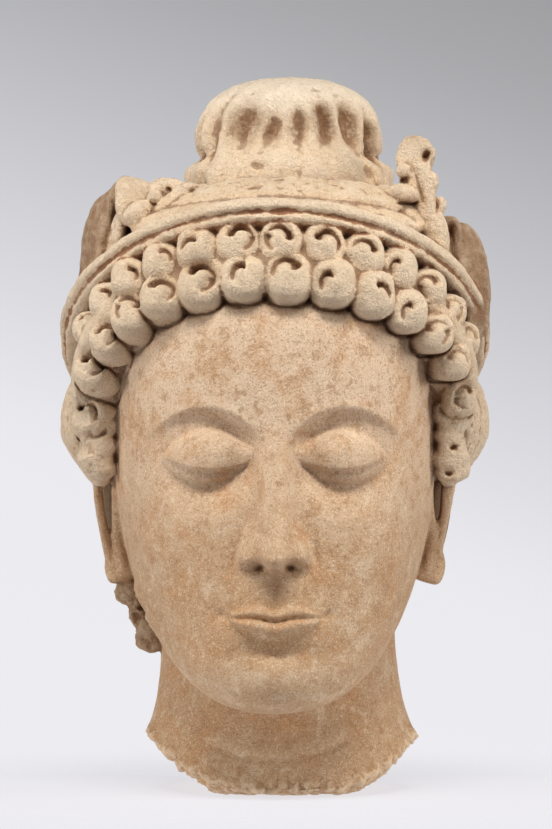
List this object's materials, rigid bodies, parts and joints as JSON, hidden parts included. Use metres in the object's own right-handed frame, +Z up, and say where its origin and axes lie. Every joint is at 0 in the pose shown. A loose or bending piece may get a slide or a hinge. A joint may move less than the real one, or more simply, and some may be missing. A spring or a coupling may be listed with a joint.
{
  "type": "bodhisattva head sculpture",
  "caption": "Head of a bodhisattva in pale stucco with snail curls, a ribbed headband, a side finial and a fluted topknot, broken off at the neck, for display.",
  "frame": {"origin": "middle of the flat patch under the broken neck, on which the head stands", "axes": "+Z up through the topknot, the face looks towards -Y, +X is the viewer's right in front of the face"},
  "size_m": [0.1936, 0.2105, 0.32],
  "materials": {
    "stucco": "matt pale buff stucco or low-fired clay, worn, with brown stains in the hollows"
  },
  "bodies": {
    "root": {"bodhisattva_head": "stucco"}
  },
  "joints": []
}
